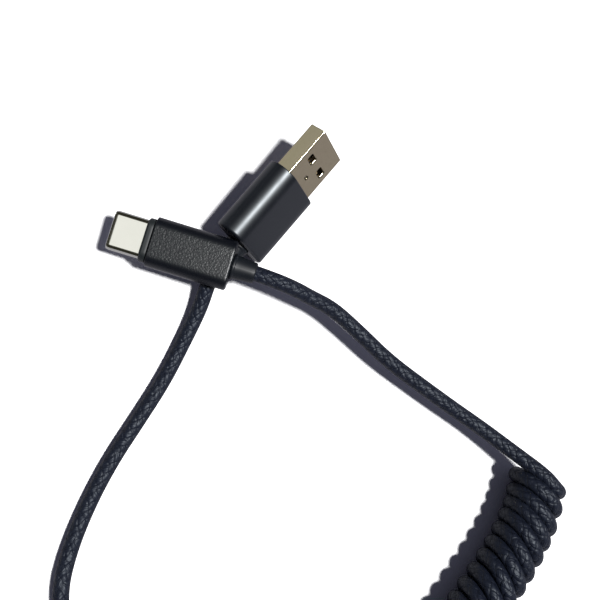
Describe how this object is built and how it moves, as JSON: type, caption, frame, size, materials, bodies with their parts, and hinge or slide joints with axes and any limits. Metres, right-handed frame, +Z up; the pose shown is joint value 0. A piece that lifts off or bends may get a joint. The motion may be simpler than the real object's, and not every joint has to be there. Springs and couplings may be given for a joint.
{
  "type": "charging cable",
  "caption": "Woven charging cable with a coiled middle, a wide flat host plug and a slim oval device plug, lying loose on a table.",
  "frame": {"origin": "on the table, under the middle of the box round the plugs", "axes": "+Z up from the table; seen from above, the host plug points between +X and +Y, the device plug points towards -X, and the coil lies towards +X and -Y"},
  "size_m": [0.1203, 0.1569, 0.0179],
  "materials": {
    "nickel_shell": "warm nickel plate, smooth",
    "bright_shell": "bright nickel plate, smooth",
    "contact_gold": "gold plate",
    "can_steel": "dull tin plate",
    "latch_steel": "sprung steel",
    "tongue_plastic": "moulded, satin",
    "insulator_plastic": "moulded, satin",
    "mould_plastic": "moulded, matt",
    "host_cover_plastic": "blue-black, satin",
    "device_cover_plastic": "blue-black, satin edges and a pebbled face",
    "bezel_plastic": "satin",
    "relief_plastic": "satin",
    "board_laminate": "solder mask",
    "chip_ceramic": "dull",
    "wire_red": "extruded",
    "wire_black": "extruded",
    "wire_green": "extruded",
    "wire_white": "extruded",
    "cord_weave": "woven jacket, blue-black"
  },
  "bodies": {
    "root": {"host_shell": "nickel_shell", "host_tongue": "tongue_plastic", "host_contacts": "contact_gold", "host_can": "can_steel", "host_inner_mould": "mould_plastic", "host_cover": "host_cover_plastic", "host_strain_relief": "relief_plastic", "host_jacket_end": "cord_weave", "host_wire_power": "wire_red", "host_wire_ground": "wire_black", "host_wire_data_plus": "wire_green", "host_wire_data_minus": "wire_white", "device_shell": "bright_shell", "device_insulator": "insulator_plastic", "device_contacts_upper": "contact_gold", "device_contacts_lower": "contact_gold", "device_latch": "latch_steel", "device_earth_springs": "latch_steel", "device_board": "board_laminate", "device_resistor": "chip_ceramic", "device_can": "can_steel", "device_inner_mould": "mould_plastic", "device_bezel": "bezel_plastic", "device_cover": "device_cover_plastic", "device_strain_relief": "relief_plastic", "device_jacket_end": "cord_weave", "device_wire_power": "wire_red", "device_wire_ground": "wire_black", "device_wire_data_plus": "wire_green", "device_wire_data_minus": "wire_white", "cord_device_tail": "cord_weave", "cord_coil": "cord_weave", "cord_host_tail": "cord_weave"}
  },
  "joints": []
}
